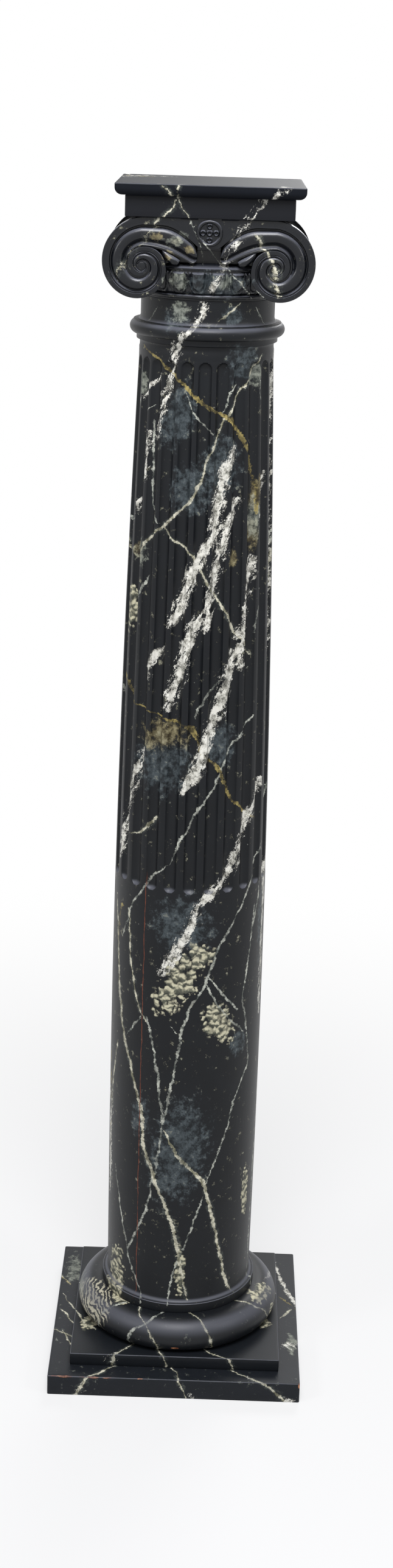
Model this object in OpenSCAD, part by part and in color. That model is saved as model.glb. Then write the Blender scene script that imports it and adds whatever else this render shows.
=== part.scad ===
// Ionic pedestal column in painted wood: a square plinth of two boards, a torus base, a turned shaft
// whose upper half is fluted, a capital with parallel volutes, and an abacus of two boards.
// Millimetres. The origin is the centre of the underside, +Z is up, and the carved front faces -Y.

/* [Plinth and base] */
// Thickness of the bottom slab
slab_h = 25.5; // [15:0.5:45]
// How far the slab stands out beyond the step
slab_margin = 25; // [5:1:60]
// Thickness of the step on the slab
step_h = 15.5; // [8:0.5:30]
// How far the step stands out beyond the torus
step_margin = 3; // [0:0.5:20]
// Height of the torus
torus_h = 40; // [30:1:60]
// How far the torus stands out beyond the shaft's foot
torus_swell = 29; // [27:0.5:50]

/* [Shaft] */
// Length of the shaft, from the torus to the capital
shaft_h = 1191; // [900:1:1800]
// Radius of the shaft at its lower end, above the foot fillet
shank_r = 87; // [80:0.5:100]
// How far the foot fillet stands out from the shaft
foot_out = 6; // [3:0.5:12]
// Height of that fillet
foot_h = 11.5; // [6:0.5:20]
// How much the shaft swells from its lower end to its belly
belly_swell = 1.5; // [0:0.1:4]
// Height of the belly above the torus
belly_z = 319; // [200:1:450]
// Radius of the shaft at its neck
neck_r = 72; // [66:0.5:76]

/* [Flutes] */
// Number of flutes
flute_count = 24; // [16:1:26]
// Width of a flute
flute_w = 14.8; // [8:0.1:15.5]
// Depth of a flute at its ends
flute_depth = 4.6; // [3:0.1:6]
// Height of the flutes' lower ends above the torus
flute_start = 535; // [470:1:700]
// Plain band between the flutes' upper ends and the astragal
flute_gap = 16; // [8:0.5:40]

/* [Astragal and neck] */
// Height of the half-round bead
bead_h = 15; // [8:0.5:22]
// How far the bead stands out from the neck
bead_out = 11.5; // [5:0.5:14]
// Height of the small fillet under the bead
bead_fillet_h = 5; // [3:0.5:8]
// Plain neck between the bead and the capital
neck_h = 26; // [12:0.5:50]

/* [Capital] */
// Height of the capital
capital_h = 84.5; // [82:0.5:102]
// How far the eyes of the volutes stand in from the outline of the neck
eye_inset = 2.5; // [-4:0.5:6]
// Height of a volute above its eye
volute_rise = 49.5; // [46:0.5:52]
// Radius of the eye
eye_r = 4.7; // [3.5:0.1:5.5]
// Turns of the spiral before it meets the eye
turns = 2.25; // [2:0.05:2.5]
// How quickly the spiral closes in
closing = 1.9; // [1.7:0.05:2.1]
// Depth of the carving
relief = 6; // [3:0.5:8]
// Thickness of the scrolled faces
scroll_t = 20; // [14:1:30]
// How far the echinus stands out from the neck
echinus_out = 12; // [9:0.5:15]
// Radius of the rosette
rosette_r = 13.7; // [10:0.1:14]

/* [Abacus] */
// How far the lower board stands out beyond the capital's face
board_out = 3.5; // [1:0.5:12]
// Thickness of the lower board
board_h = 21.5; // [12:0.5:35]
// How far the top slab stands out beyond the lower board
top_out = 10.5; // [8:0.5:25]
// Thickness of the top slab
top_h = 12; // [8:0.5:25]
// Radius of the quarter-round under the top slab's edge
top_round = 7.5; // [2:0.5:9]

/* [Hidden] */
$fn = 96;
paint = "#1d1e22";
paint_light = "#2a2c33";

// Radii of the turned pieces, and the outlines of the boards
foot_r = shank_r + foot_out;
belly_r = shank_r + belly_swell;
echinus_r = neck_r + echinus_out;
torus_r = foot_r + torus_swell;
step_w = 2 * (torus_r + step_margin);
slab_w = step_w + 2 * slab_margin;
face_y = echinus_r;
board_w = 2 * (face_y + board_out);
top_w = board_w + 2 * top_out;

// Heights of the joints between the pieces
step_z = slab_h;
torus_z = step_z + step_h;
shaft_z = torus_z + torus_h;
capital_z = shaft_z + shaft_h;
board_z = capital_z + capital_h;
top_z = board_z + board_h;

// Places along the shaft, above its own foot
bead_z = shaft_h - neck_h - bead_h;
flute_end = bead_z - bead_fillet_h - flute_gap;
fillet_out = 4;
overlap = 1;

// Points of an arc from angle a0 to angle a1, seen in the (radius, height) plane. It is an
// ellipse's arc where a height of its own is given.
function arc(cx, cz, r, a0, a1, steps = 10, rz = undef) =
    let (tall = is_undef(rz) ? r : rz)
    [for (i = [0:steps]) let (a = a0 + (a1 - a0) * i / steps) [cx + r * cos(a), cz + tall * sin(a)]];

// Radius of the shaft at height z above its foot: a parabola each way from the belly
function shaft_r(z) = z < belly_z
    ? belly_r - (belly_r - shank_r) * pow((belly_z - z) / belly_z, 2)
    : belly_r - (belly_r - neck_r) * pow((z - belly_z) / (bead_z - belly_z), 2);

// ---- plinth and base ----

module centred_board(w, h) {
    translate([-w / 2, -w / 2, 0])
        cube([w, w, h]);
}

module plinth_slab() {
    color(paint)
        centred_board(slab_w, slab_h);
}

module plinth_step() {
    color(paint)
        translate([0, 0, step_z])
            centred_board(step_w, step_h);
}

// A torus that is fuller above its widest line than below it. Its flat top is never smaller than
// the shaft's foot.
module torus_base() {
    upper = min(torus_h * 0.6, torus_swell);
    lower = torus_h - upper;
    color(paint_light)
        translate([0, 0, torus_z])
            rotate_extrude()
                polygon(concat(
                    [[0, 0]],
                    arc(torus_r - lower, lower, lower, -90, 0),
                    arc(torus_r - upper, lower, upper, 0, 90),
                    [[0, torus_h]]));
}

// ---- shaft ----

// Half outline of the turned shaft: foot fillet, cove, entasis, astragal and neck
module shaft_outline() {
    entasis_steps = 16;
    cove_top = foot_h + foot_out;
    bead_top = bead_z + bead_h;
    fillet_z = bead_z - bead_fillet_h;
    fillet_r = neck_r + fillet_out;
    polygon(concat(
        [[0, 0], [foot_r, 0], [foot_r, foot_h]],
        arc(foot_r, cove_top, foot_out, 270, 180, 6),
        [for (i = [1:entasis_steps])
            let (z = cove_top + (fillet_z - fillet_out - cove_top) * i / entasis_steps) [shaft_r(z), z]],
        arc(fillet_r, fillet_z - fillet_out, fillet_r - shaft_r(fillet_z), 180, 90, 5),
        [[fillet_r, bead_z]],
        arc(neck_r + bead_out - bead_h / 2, bead_z + bead_h / 2, bead_h / 2, -90, 90, 12),
        [[neck_r + 1, bead_top + overlap], [neck_r, bead_top + 4], [neck_r, shaft_h], [0, shaft_h]]));
}

// The cutter of one flute: a straight spindle with round ends, standing on its own axis. Its radius
// shrinks where the shaft swells towards it, so the flute keeps its width from end to end.
module flute_cutter() {
    low_r = shaft_r(flute_start);
    high_r = shaft_r(flute_end);
    half_w = flute_w / 2;
    clear = (half_w * half_w - flute_depth * flute_depth) / (2 * flute_depth);
    end_r = clear + flute_depth;
    length = flute_end - flute_start;
    steps = 6;
    function swell(z) = shaft_r(z) - low_r - (high_r - low_r) * (z - flute_start) / length;
    function spindle_r(z) = sqrt(half_w * half_w + pow(clear - swell(z), 2));
    tilt = atan((high_r - low_r) / length);
    translate([low_r + clear, 0, flute_start])
        rotate([0, tilt, 0])
            rotate_extrude($fn = 48)
                polygon(concat(
                    arc(0, end_r, end_r, -90, 0, 6),
                    [for (i = [1:steps - 1])
                        let (z = end_r + (length - 2 * end_r) * i / steps) [spindle_r(flute_start + z), z]],
                    arc(0, length - end_r, end_r, 0, 90, 6)));
}

module shaft() {
    color(paint)
        translate([0, 0, shaft_z])
            difference() {
                rotate_extrude()
                    shaft_outline();
                for (i = [0:flute_count - 1])
                    rotate([0, 0, 360 * i / flute_count - 90])
                        flute_cutter();
            }
}

// ---- capital, drawn above its own underside ----

eye_x = neck_r - eye_inset;
eye_z = capital_h - volute_rise;
groove_w = 3.4;
fillet_w = 2.3;
hollow_w = 4.8;
tip_x = 12;
tip_len = 8;
turn_steps = 24;
rim_turns = 1.5;
roll_turns = 1.125;
roll_step = 2.4;
spandrel_rise = 19.5;

// Outer edge of the spiral after t turns from its top, and the flat rim inside that edge
function spiral_r(t) = eye_r + (volute_rise - eye_r) * pow(max(0, 1 - t / turns), closing);
function rim_w(t) = 8 - 1.8 * t;
function channel_r(t) = spiral_r(t) - rim_w(t);

// Share of the first channel's width that is left after t turns
function narrowing(t) = (channel_r(t) - spiral_r(t + 1)) / (channel_r(0) - spiral_r(1));

// A point t turns round the left volute at radius r from its eye
function scroll_point(t, r) = [-eye_x - r * sin(360 * t), eye_z + r * cos(360 * t)];

// Edges of the carving between a volute and the centre line, as heights above the eyes:
// the spandrel's lower edge, and the lower edge of the thin fillet under the roll
function spandrel_edge(x) =
    let (u = min(1, max(0, (abs(x) - 10) / 40)))
    spandrel_rise + (channel_r(0) - spandrel_rise) * sin(90 * u);
function fillet_edge(x) =
    let (v = (eye_x - abs(x)) / (eye_x - tip_x))
    spiral_r(1) - spiral_r(1) * (1 - cos(90 * v));

// How far the sweep's end has closed at x, so that it finishes in a round tip, its middle height,
// its lower edge with that tip, and the room that the fillet and hollow take under the roll
function tip_close(x) = let (u = min(1, (abs(x) - tip_x) / tip_len)) sqrt(max(0, 1 - (1 - u) * (1 - u)));
function mid_z(x) = (spandrel_edge(x) + fillet_edge(x)) / 2;
function sweep_foot(x) = mid_z(x) - (mid_z(x) - fillet_edge(x)) * tip_close(x);
function roll_foot(x) = (fillet_w + hollow_w) * pow((abs(x) - tip_x) / (eye_x - tip_x), 0.5) + 0.5;

// A band of the left volute between two radii, each a function of t
module scroll_band(t_end, outer, inner) {
    steps = round(t_end * turn_steps);
    polygon(concat(
        [for (i = [0:steps]) let (t = i / turn_steps) scroll_point(t, outer(t))],
        [for (i = [steps:-1:0]) let (t = i / turn_steps) scroll_point(t, inner(t))]));
}

// A band between the left volute and the centre line, between two heights above the eyes. Its
// points draw closer together towards x_end, where a tip is round.
module sweep_band(x_end, upper, lower) {
    steps = 14;
    places = [for (i = [0:steps]) -x_end - (eye_x - x_end) * (1 - sin(90 * i / steps))];
    polygon(concat(
        [for (x = places) [x, eye_z + upper(x)]],
        [for (i = [steps:-1:0]) [places[i], eye_z + lower(places[i])]]));
}

// Raises the outlines of one half, and their mirror images, from the scrolled face to a height
module raised(height) {
    for (side = [0, 1])
        mirror([side, 0, 0])
            translate([0, 0, -scroll_t + overlap])
                linear_extrude(scroll_t - overlap + height)
                    children();
}

module volute_outline() {
    polygon([for (i = [0:turn_steps]) scroll_point(i / turn_steps, spiral_r(i / turn_steps))]);
}

// The sunk ground of the scrolled face
module ground() {
    translate([0, 0, -scroll_t])
        linear_extrude(scroll_t - relief) {
            for (side = [0, 1])
                mirror([side, 0, 0]) {
                    volute_outline();
                    sweep_band(tip_x, function(x) volute_rise, function(x) sweep_foot(x));
                }
            translate([-tip_x - overlap, eye_z + spandrel_rise - 2 * groove_w])
                square([2 * (tip_x + overlap), volute_rise - spandrel_rise + 2 * groove_w]);
        }
}

// The flat rim, which runs on as the spandrel under the abacus
module rim() {
    raised(0)
        scroll_band(rim_turns, function(t) spiral_r(t), function(t) max(eye_r + 0.3, channel_r(t)));
    raised(0)
        sweep_band(-overlap, function(x) volute_rise, function(x) spandrel_edge(x));
}

// The convex roll inside the rim, stepped as two flats, and the thin fillet inside the roll
module roll() {
    for (level = [0, 1]) {
        inset = level * roll_step;
        raised(level == 0 ? -2.5 : -0.8) {
            scroll_band(roll_turns,
                function(t) channel_r(t) - (groove_w + inset) * narrowing(t),
                function(t) spiral_r(t + 1) + (fillet_w + hollow_w + inset) * narrowing(t));
            sweep_band(tip_x,
                function(x) mid_z(x) + (spandrel_edge(x) - groove_w - inset - mid_z(x)) * tip_close(x),
                function(x) mid_z(x) - (mid_z(x) - fillet_edge(x) - inset - roll_foot(x)) * tip_close(x));
        }
    }
}

module fillet() {
    raised(-2) {
        scroll_band(0.25, function(t) spiral_r(t + 1) + fillet_w, function(t) spiral_r(t + 1) + 0.3);
        sweep_band(tip_x + 0.5, function(x) sweep_foot(x) + fillet_w, function(x) sweep_foot(x));
    }
}

module eye() {
    raised(0.5)
        translate([-eye_x, eye_z])
            circle(eye_r);
}

// A bud in the corner between each volute and its sweep
module bud() {
    raised(-1.5)
        translate([-eye_x + 35.5, eye_z + 6.5]) {
            circle(3.8);
            polygon([[-3, -2.3], [-14, 9.5], [1.5, 3.5]]);
        }
}

module rosette() {
    depth = scroll_t - overlap + board_out - 0.3;
    translate([0, eye_z + volute_rise - rosette_r - 0.8, -scroll_t + overlap])
        difference() {
            cylinder(h = depth, r = rosette_r);
            translate([0, 0, depth - 1.6])
                difference() {
                    cylinder(h = 2, r = rosette_r - 1.8);
                    for (a = [0:90:270])
                        rotate(a)
                            translate([rosette_r * 0.5, 0, -1])
                                cylinder(h = 4, r = rosette_r * 0.3);
                    translate([0, 0, -1])
                        cylinder(h = 4, r = rosette_r * 0.25);
                }
            for (a = [0:90:270])
                rotate(a)
                    translate([rosette_r * 0.52, 0, depth - 2.6])
                        cylinder(h = 4, r = rosette_r * 0.17);
        }
}

// One scrolled face, lying in the XY plane with its rim at height 0
module scrolled_face(with_rosette) {
    ground();
    rim();
    roll();
    fillet();
    eye();
    bud();
    if (with_rosette)
        rosette();
}

// The bolster behind a pair of volutes: a waisted roll with a strap of three beads
module bolster() {
    end_r = 28;
    waist_r = 21;
    bead = 5;
    half = face_y - scroll_t + overlap;
    steps = 8;
    translate([eye_x + 4, half, eye_z + 5])
        rotate([90, 0, 0]) {
            rotate_extrude()
                polygon(concat(
                    [[0, 0]],
                    [for (i = [-steps:steps])
                        [waist_r + (end_r - waist_r) * pow(i / steps, 2), half * (1 + i / steps)]],
                    [[0, 2 * half]]));
            for (i = [-1:1])
                translate([0, 0, half + i * bead])
                    rotate_extrude()
                        translate([waist_r, 0])
                            circle(bead / 2, $fn = 24);
        }
}

// The round echinus with its ring below and the eggs that show between the volutes
module echinus() {
    ring_z = 2;
    ring_top = 6.5;
    ring_out = 3.5;
    rim_top = eye_z - 0.5;
    rim_foot = rim_top - 2.5;
    ovolo_foot = ring_top + 2.5;
    egg_foot = ring_top + 1.5;
    egg_r = 8;
    egg_proud = 4;
    egg_pitch = 15;
    rotate_extrude()
        polygon(concat(
            [[0, 0], [neck_r, 0], [neck_r, ring_z], [neck_r + ring_out, ring_z],
             [neck_r + ring_out, ring_top], [neck_r + 1, ring_top + 1]],
            arc(neck_r + 1, rim_foot, echinus_out - egg_proud, -85, 0, 8, rim_foot - ovolo_foot),
            [[echinus_r, rim_foot], [echinus_r, rim_top], [echinus_r - 8, rim_top + 4], [0, rim_top + 4]]));
    for (face = [0, 180])
        for (i = [-2.5:2.5])
            rotate([0, 0, face + i * egg_pitch - 90])
                translate([echinus_r - egg_r, 0, (egg_foot + rim_foot) / 2])
                    rotate([0, 12, 0])
                        rotate_extrude($fn = 32)
                            polygon(arc(0, 0, egg_r, -90, 90, 12, (rim_foot - egg_foot) / 2));
}

module capital() {
    block_x = eye_x + 8;
    block_y = face_y - scroll_t + overlap;
    color(paint_light)
        translate([0, 0, capital_z]) {
            echinus();
            translate([-block_x, -block_y, eye_z])
                cube([2 * block_x, 2 * block_y, volute_rise]);
            for (side = [0, 1])
                mirror([side, 0, 0])
                    bolster();
            for (back = [0, 1])
                mirror([0, back, 0])
                    translate([0, -face_y, 0])
                        rotate([90, 0, 0])
                            scrolled_face(back == 0);
        }
}

// ---- abacus ----

module abacus_board() {
    color(paint)
        translate([0, 0, board_z])
            centred_board(board_w, board_h);
}

// A square slab with a quarter-round worked under its edge
module abacus_top() {
    steps = 6;
    color(paint_light)
        translate([0, 0, top_z])
            difference() {
                centred_board(top_w, top_h);
                for (a = [0:90:270])
                    rotate([0, 0, a])
                        translate([-top_w, top_w / 2 - top_round, 0])
                            rotate([90, 0, 90])
                                linear_extrude(2 * top_w)
                                    polygon(concat(
                                        [[0, -overlap], [top_round + overlap, -overlap],
                                         [top_round + overlap, top_round]],
                                        arc(0, top_round, top_round, 0, -90, steps)));
            }
}

plinth_slab();
plinth_step();
torus_base();
shaft();
capital();
abacus_board();
abacus_top();
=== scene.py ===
import math
import random

import bpy
from mathutils import Matrix, Vector, noise


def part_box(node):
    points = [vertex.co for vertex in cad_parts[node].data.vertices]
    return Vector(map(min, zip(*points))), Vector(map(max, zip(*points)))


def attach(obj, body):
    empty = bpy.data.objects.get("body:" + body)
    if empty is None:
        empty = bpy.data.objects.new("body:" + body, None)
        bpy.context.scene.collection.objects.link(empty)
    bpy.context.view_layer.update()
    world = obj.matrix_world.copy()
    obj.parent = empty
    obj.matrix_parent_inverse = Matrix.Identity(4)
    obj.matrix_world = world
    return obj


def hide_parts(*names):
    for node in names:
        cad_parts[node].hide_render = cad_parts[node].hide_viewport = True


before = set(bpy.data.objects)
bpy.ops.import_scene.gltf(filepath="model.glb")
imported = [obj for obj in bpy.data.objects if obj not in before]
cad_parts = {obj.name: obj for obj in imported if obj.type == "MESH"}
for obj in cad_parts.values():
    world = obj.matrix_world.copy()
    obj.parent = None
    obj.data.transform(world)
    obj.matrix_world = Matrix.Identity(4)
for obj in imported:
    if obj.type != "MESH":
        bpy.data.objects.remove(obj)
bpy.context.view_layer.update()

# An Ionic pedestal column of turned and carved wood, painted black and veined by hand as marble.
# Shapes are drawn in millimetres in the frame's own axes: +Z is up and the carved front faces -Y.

MM = 0.001


# ---- sizes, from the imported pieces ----

def low_high(node):
    """Underside, top and half width of a piece, in mm"""
    low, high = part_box(node)
    return low.z / MM, high.z / MM, high.x / MM


SLAB_Z, SLAB_TOP, SLAB_HALF = low_high("plinth_slab")
STEP_Z, STEP_TOP, STEP_HALF = low_high("plinth_step")
TORUS_Z, TORUS_TOP, TORUS_R = low_high("torus_base")
SHAFT_Z, SHAFT_TOP, FOOT_R = low_high("shaft")
CAPITAL_Z, CAPITAL_TOP = low_high("capital")[:2]
BOARD_Z, BOARD_TOP, BOARD_HALF = low_high("abacus_board")
TOP_Z, TOP_TOP, TOP_HALF = low_high("abacus_top")

# Boards and torus: how far the long edges are taken off, how round the corners are, how deep the edges
# have worn and how far in from them, the quarter-round under the abacus, and how much of the torus lies
# below its widest line
EASE = 0.9
CORNER_R = 1.5
EDGE_WEAR = 0.15
WORN_REACH = 14
TOP_EASE = 0.8
TOP_ROUND = 7.5
TORUS_LOWER = 0.4

# The shaft, above its own foot
FOOT_H = 11.5
FOOT_OUT = 6.0
SHANK_R = FOOT_R - FOOT_OUT
BELLY_R = SHANK_R + 1.5
BELLY_Z = 319.0
NECK_R = 72.0
NECK_H = 26.0
BEAD_H = 15.0
BEAD_OUT = 11.5
BEAD_FILLET_H = 5.0
BEAD_FILLET_OUT = 4.0
BEAD_Z = SHAFT_TOP - SHAFT_Z - NECK_H - BEAD_H

# The flutes, where the points lie across one and across the land beside it, and how much wider than half
# a flute the round is that cuts its end
FLUTES = 24
FLUTE_SHARES = (-1, -0.96, -0.86, -0.68, -0.44, -0.15, 0.15, 0.44, 0.68, 0.86, 0.96, 1)
LAND_SHARES = (0.14, 0.5, 0.86)
FLUTE_W = 14.8
FLUTE_DEPTH = 4.6
OVERCUT = 0.85
FLUTE_START = 535.0
FLUTE_END = BEAD_Z - BEAD_FILLET_H - 16.0

# The capital, above its own underside: its scrolled faces, the volutes and sweeps on them, the rosette.
# Relief is how far the sunk ground lies behind a face, and the volute's channel is a little less deep.
FACE_Y = 84.0
EYE_X = NECK_R - 2.5
VOLUTE_RISE = 49.5
EYE_Z = CAPITAL_TOP - CAPITAL_Z - VOLUTE_RISE
EYE_R = 4.7
TURNS = 2.25
CLOSING = 1.9
RELIEF = 6.0
CHANNEL_DEPTH = 5.4
SCROLL_T = 20.0
SPANDREL_RISE = 19.5
SPANDREL_FOOT = SPANDREL_RISE - 2.5
TIP_X = 12.0
TIP_LEN = 8.0
ROSETTE_R = 13.7

# The echinus, and the eggs, shells and darts on it. The pitch is in degrees, and the eggs end at EGG_END.
ECHINUS_R = 80.0
OVOLO_Z, OVOLO_TOP, OVOLO_OUT = 7.6, 32.0, 8.4
EGG_PITCH, EGG_END = 15, 47
EGG_Z, EGG_W, EGG_H, EGG_OUT = 22.0, 6.6, 12.0, 3.3
SHELL_OUT = 2.2
DART_X, DART_OUT = 10.4, 1.2

# The bolsters, with a strap of three beads
BOLSTER_R, BOLSTER_WAIST_R = 28.0, 21.0
STRAP_BEAD = 5.0


# ---- mesh work ----

def blend(a, b, t):
    return a + (b - a) * t


def clamp(value, low=0.0, high=1.0):
    return max(low, min(high, value))


def smooth(t):
    """Eases t from 0 to 1, level at both ends"""
    t = clamp(t)
    return t * t * (3 - 2 * t)


def arc(cx, cz, r, a0, a1, steps):
    """Points of an arc from angle a0 to angle a1 in degrees, as (radius, height)"""
    angles = [math.radians(blend(a0, a1, i / steps)) for i in range(steps + 1)]
    return [(cx + r * math.cos(a), cz + r * math.sin(a)) for a in angles]


def around(count):
    """Angles evenly round a circle"""
    return [math.tau * i / count for i in range(count)]


def skin(rows, wrap=True, start_lid=True):
    """Quads between neighbouring rows of points. Rows that wrap round get a lid on the last one, and on
    the first unless told not to."""
    count = len(rows[0])
    verts = [p for row in rows for p in row]
    faces = []
    for i in range(len(rows) - 1):
        for j in range(count if wrap else count - 1):
            k = (j + 1) % count
            faces.append((i * count + j, i * count + k, (i + 1) * count + k, (i + 1) * count + j))
    if wrap and start_lid:
        faces.append(tuple(reversed(range(count))))
    if wrap:
        faces.append(tuple(range((len(rows) - 1) * count, len(rows) * count)))
    return verts, faces


def turned(profile, count):
    """A piece turned on the lathe, from (radius, height) points of its outline"""
    return skin([[(r * math.cos(a), r * math.sin(a), z) for a in around(count)] for r, z in profile])


def moved(part, place):
    """The part with every point put through a function of x, y and z"""
    verts, faces = part
    return [place(*v) for v in verts], faces


def flipped(part):
    """The part with its faces turned over, which mirroring asks for"""
    verts, faces = part
    return verts, [tuple(reversed(f)) for f in faces]


def piece(name, parts, nodes, material):
    """One mesh object of several parts, riding on the column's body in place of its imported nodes. Edges
    sharper than 35 degrees stay crisp."""
    verts, faces = [], []
    for part_verts, part_faces in parts:
        first = len(verts)
        verts += [(x * MM, y * MM, z * MM) for x, y, z in part_verts]
        faces += [tuple(first + i for i in f) for f in part_faces]
    mesh = bpy.data.meshes.new(name)
    mesh.from_pydata(verts, [], faces)
    mesh.validate()
    mesh.shade_smooth()
    mesh.set_sharp_from_angle(angle=math.radians(35))
    mesh.materials.append(material)
    obj = bpy.data.objects.new(name, mesh)
    bpy.context.scene.collection.objects.link(obj)
    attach(obj, "root")
    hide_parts(*nodes)
    return obj


# ---- boards of the plinth and the abacus ----

def square_row(half, z, corner):
    """Points round a square whose corners are slightly rounded, closer together near the corners"""
    side_points = 100
    row = []
    for side in range(4):
        turn = Matrix.Rotation(math.pi / 2 * side, 2)
        for i in range(side_points):
            u = 2 * i / side_points - 1
            x = half * blend(u, math.sin(math.pi / 2 * u), 0.6)
            y = -half
            cx = clamp(x, corner - half, half - corner)
            cy = corner - half
            reach = math.hypot(x - cx, y - cy)
            if abs(x) > abs(cx):
                x = cx + (x - cx) * corner / reach
                y = cy + (y - cy) * corner / reach
            p = turn @ Vector((x, y))
            row.append((p.x, p.y, z))
    return row


def board(profile, chips=()):
    """A board worked to a profile of (half width, height) all round, with worn edges and chips"""
    rows = [square_row(half, z, CORNER_R if half > 20 else 0.2) for half, z in profile]
    verts, faces = skin(rows)
    widest = max(half for half, z in profile)
    worn = []
    for v in verts:
        p = Vector(v)
        if max(abs(p.x), abs(p.y)) > widest - WORN_REACH:
            p *= 1 - EDGE_WEAR * (0.5 + 0.5 * noise.noise(p * 0.12)) / widest
            p.z = v[2]
        for centre, (long, tall), depth in chips:
            off = Vector(v) - Vector(centre)
            away = Vector((off.x / long, off.y / tall, off.z / tall)).length
            if away < 1:
                ragged = 0.75 + 0.35 * noise.noise(p * 0.5)
                cut = depth * (1 - away ** 2) * ragged
                p.y += cut
                p.z -= cut * 0.6
        worn.append(tuple(p))
    return worn, faces


def eased_edge(half, low, high):
    """Profile of a plain board: its four long edges are just taken off"""
    return ([(half * 0.02, low), (half - 12, low), (half - EASE, low)]
            + arc(half - EASE, low + EASE, EASE, -90, 0, 3)[1:]
            + [(half, blend(low, high, 0.3)), (half, blend(low, high, 0.6))]
            + arc(half - EASE, high - EASE, EASE, 0, 90, 3)
            + [(half - 3, high), (half - 7, high), (half - 12, high)]
            + [(half * 0.6, high), (half * 0.02, high)])


def abacus_profile():
    """A slab with a quarter-round worked under its edge"""
    low, high, half = TOP_Z, TOP_TOP, TOP_HALF
    return ([(3, low), (half - 14, low), (half - TOP_ROUND, low)]
            + arc(half - TOP_ROUND, low + TOP_ROUND, TOP_ROUND, -90, 0, 9)[1:]
            + [(half, high - TOP_EASE)]
            + arc(half - TOP_EASE, high - TOP_EASE, TOP_EASE, 0, 90, 3)
            + [(half - 4, high), (half - 14, high), (half * 0.6, high), (3, high)])


# ---- torus and shaft ----

def torus_profile():
    """A torus fuller above its widest line than below it"""
    lower = TORUS_LOWER * (TORUS_TOP - TORUS_Z)
    upper = TORUS_TOP - TORUS_Z - lower
    middle = TORUS_Z + lower
    return ([(2, TORUS_Z), (TORUS_R - lower - 2, TORUS_Z)]
            + arc(TORUS_R - lower, middle, lower, -90, 0, 10)
            + arc(TORUS_R - upper, middle, upper, 0, 90, 18)[1:]
            + [(FOOT_R - 4, TORUS_TOP), (2, TORUS_TOP)])


def shaft_r(z):
    """Radius of the shaft at height z above its foot: a parabola each way from the belly"""
    if z < BELLY_Z:
        return BELLY_R - (BELLY_R - SHANK_R) * ((BELLY_Z - z) / BELLY_Z) ** 2
    return BELLY_R - (BELLY_R - NECK_R) * ((z - BELLY_Z) / (BEAD_Z - BELLY_Z)) ** 2


def flute_at(z):
    """Half width of a flute at height z, and the radius and clearance of the round that cuts it"""
    half = FLUTE_W / 2
    clear = (half ** 2 - FLUTE_DEPTH ** 2) / (2 * FLUTE_DEPTH)
    end_r = clear + FLUTE_DEPTH
    low_z, high_z = FLUTE_START + end_r, FLUTE_END - end_r
    past = max(low_z - z, z - high_z, 0.0)
    if past >= half:
        return 0.0, end_r, clear
    if past > 0:
        return math.sqrt(half ** 2 - past ** 2), math.sqrt(end_r ** 2 - past ** 2), clear
    low_r, high_r = shaft_r(FLUTE_START), shaft_r(FLUTE_END)
    swell = shaft_r(z) - blend(low_r, high_r, (z - FLUTE_START) / (FLUTE_END - FLUTE_START))
    return half, math.hypot(half, clear - swell), clear - swell


def shaft_row(z, radius, spread):
    """One level of the shaft. The points gather at the flutes' edges as far as spread is under 1."""
    half, cutter, clear = flute_at(z)
    pitch = math.tau * radius / FLUTES
    plain_half = pitch * 0.36
    row = []
    for flute in range(FLUTES):
        middle = math.tau * flute / FLUTES - math.pi / 2
        wide = max(half, blend(0.4, plain_half, spread))
        for s in FLUTE_SHARES:
            x = s * wide
            cut = 0.0
            if half > 0:
                cut = max(0.0, math.sqrt(max(0.0, cutter ** 2 - x ** 2)) - clear)
                if abs(s) == 1:
                    cut = 0.2
            a = middle + x / radius
            row.append(((radius - cut) * math.cos(a), (radius - cut) * math.sin(a), z + SHAFT_Z))
        for share in LAND_SHARES:
            a = middle + blend(wide, pitch - wide, share) / radius
            row.append((radius * math.cos(a), radius * math.sin(a), z + SHAFT_Z))
    return row


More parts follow.
